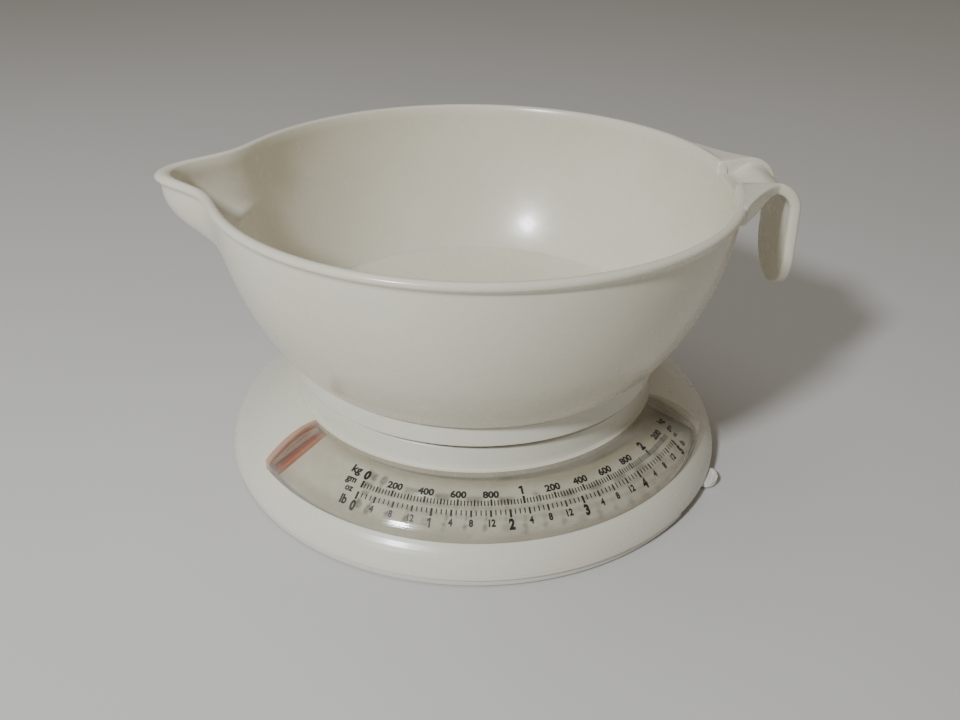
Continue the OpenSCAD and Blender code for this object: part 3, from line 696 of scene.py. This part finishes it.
class Print:
    """Collects flat marks laid on the window's face."""

    def __init__(self):
        self.points, self.faces = [], []

    def lay(self, across, radius, azimuth):
        """A point a distance across from an azimuth at a radius."""
        turn = azimuth + math.degrees(across / radius)
        self.points.append(around(radius, turn, window_height(radius) + PRINT_GAP))

    def tick(self, azimuth, start, end, width):
        """A line along a radius, bent with the face."""
        steps = 4
        first = len(self.points)
        for i in range(steps + 1):
            r = start + (end - start) * i / steps
            self.lay(-width / 2, r, azimuth)
            self.lay(width / 2, r, azimuth)
        for i in range(steps):
            a = first + 2 * i
            self.faces.append((a, a + 1, a + 3, a + 2))

    def figure_one(self, azimuth, radius, height):
        """A numeral 1 drawn as a stem and a flag."""
        stem, reach = 0.25 * height, 0.36 * height
        for flat in (
            ((-stem / 2, 0.5), (stem / 2, 0.5), (stem / 2, -0.5), (-stem / 2, -0.5)),
            ((-stem / 2, 0.5), (-stem / 2, 0.2), (-reach, 0.16), (-reach, 0.32)),
        ):
            first = len(self.points)
            for across, up in flat:
                self.lay(across, radius - up * height, azimuth)
            self.faces.append(tuple(range(first, first + 4)))

    def word(self, text, azimuth, radius, height, weight, widen):
        """Text centred on a place, its feet towards the outer edge."""
        if text == "1":
            self.figure_one(azimuth, radius, height)
            return
        curve = bpy.data.curves.new("word", "FONT")
        curve.body = text
        curve.align_x = "CENTER"
        curve.align_y = "CENTER"
        curve.resolution_u = 3
        curve.offset = weight
        holder = bpy.data.objects.new("word", curve)
        mesh = bpy.data.meshes.new_from_object(holder)
        scale = height / CAP_HEIGHT
        heights = [v.co.y for v in mesh.vertices]
        middle = (min(heights) + max(heights)) / 2
        if "g" in text:
            middle += DESCENDER
        first = len(self.points)
        for v in mesh.vertices:
            self.lay(v.co.x * scale * widen, radius - (v.co.y - middle) * scale, azimuth)
        for face in mesh.polygons:
            self.faces.append(tuple(first + i for i in face.vertices))
        bpy.data.objects.remove(holder)
        bpy.data.curves.remove(curve)
        bpy.data.meshes.remove(mesh)


def tick_size(value, sizes):
    """Length and width of the mark at a value: the first size whose step divides it."""
    return next((length, width) for step, length, width in sizes if value % step == 0)


def print_kilograms(marks):
    """Marks each 20 g, with the kilos and the hundreds of grams inside them."""
    for grams in range(0, LAST_GRAMS + 1, 20):
        length, width = tick_size(grams, KG_TICKS)
        marks.tick(reading(grams / 1000), KG_INNER_END - length, KG_INNER_END, width)
    for kilo in (0, 1, 2):
        marks.word(str(kilo), reading(kilo), 80.9, 3.0, 0.06, 1.0)
    for hundreds in range(2, 23, 2):
        if hundreds % 10:
            marks.word(str(hundreds % 10 * 100), reading(hundreds / 10), 81.75, 2.2, 0.045, 1.15)


def print_pounds(marks):
    """Marks each ounce, with the pounds and each fourth ounce outside them."""
    for ounces in range(0, LAST_OUNCES + 1):
        at = reading(POUND * ounces / 16)
        length, width = tick_size(ounces, LB_TICKS)
        marks.tick(at, LB_OUTER_END, LB_OUTER_END + length, width)
        if ounces % 16 == 0:
            marks.word(str(ounces // 16), at, 90.75, 2.6, 0.06, 1.0)
        elif ounces % 4 == 0:
            marks.word(str(ounces % 16), at, 90.2, 1.8, 0.045, 1.08)


def print_units(marks):
    """Names of the units at both ends, smaller at the right."""
    for text, radius, height, left, right in (
        ("kg", 80.2, 2.7, -121.7, -29.6),
        ("gm", 84.1, 2.1, -121.5, -29.8),
        ("oz", 86.8, 1.9, -121.0, -30.4),
        ("lb", 90.0, 2.4, -121.0, -30.6),
    ):
        marks.word(text, left, radius, height, 0.042, 1.12)
        marks.word(text, right, radius, height * 0.8, 0.035, 1.1)


def build_print():
    """The kg and lb scale as one flat mesh just off the window."""
    marks = Print()
    print_kilograms(marks)
    print_pounds(marks)
    print_units(marks)
    mesh = bpy.data.meshes.new("scale_print")
    mesh.from_pydata([tuple(c * MM for c in p) for p in marks.points], [], marks.faces)
    mesh.update()
    mesh.materials.append(INK)
    made = bpy.data.objects.new("scale_print", mesh)
    bpy.context.scene.collection.objects.link(made)
    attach(made, "base")
    return made


# ---------------------------------------------------------------- stage, light and camera, metres


def build_stage():
    """A plain pale floor."""
    half = 6.0
    corners = [(-half, -half, 0), (half, -half, 0), (half, half, 0), (-half, half, 0)]
    mesh = bpy.data.meshes.new("floor")
    mesh.from_pydata(corners, [], [(0, 1, 2, 3)])
    mesh.materials.append(floor_material())
    floor = bpy.data.objects.new("floor", mesh)
    bpy.context.scene.collection.objects.link(floor)


def area_light(name, place, target, size, power, color):
    """A round lamp turned towards a target."""
    data = bpy.data.lights.new(name, "AREA")
    data.shape = "DISK"
    data.size = size
    data.energy = power
    data.color = color
    lamp = bpy.data.objects.new(name, data)
    lamp.location = place
    lamp.rotation_euler = (Vector(target) - Vector(place)).to_track_quat("-Z", "Y").to_euler()
    bpy.context.scene.collection.objects.link(lamp)


def build_light():
    """A warm room, a small key lamp at the front left and a wide weak one above."""
    world = bpy.data.worlds.new("studio")
    bpy.context.scene.world = world
    world.use_nodes = True
    background = world.node_tree.nodes["Background"]
    background.inputs["Color"].default_value = (0.88, 0.81, 0.70, 1)
    background.inputs["Strength"].default_value = 0.24
    area_light("key", (-0.49, -0.65, 0.71), (0.02, 0.02, 0.05), size=0.13, power=9.3, color=(0.91, 0.96, 1.0))
    area_light("top", (-0.2, 0.3, 1.6), (0, 0, 0.05), size=1.2, power=3.6, color=(0.95, 0.97, 1.0))


def build_camera():
    """The camera in front of the scale, looking down at it."""
    place = (-0.00838, -0.30987, 0.21241)
    heading, look_down, roll = -1.96, 30.56, 0.90
    data = bpy.data.cameras.new("camera")
    data.lens = 32.576
    data.sensor_width = 36.0
    data.clip_start = 0.01
    camera = bpy.data.objects.new("camera", data)
    camera.matrix_world = (
        Matrix.Translation(place)
        @ Matrix.Rotation(math.radians(heading), 4, "Z")
        @ Matrix.Rotation(math.radians(90 - look_down), 4, "X")
        @ Matrix.Rotation(math.radians(roll), 4, "Z")
    )
    bpy.context.scene.collection.objects.link(camera)
    bpy.context.scene.camera = camera


build_bowl()
build_handle()
build_spring()
build_window()
build_print()
build_stage()
build_light()
build_camera()
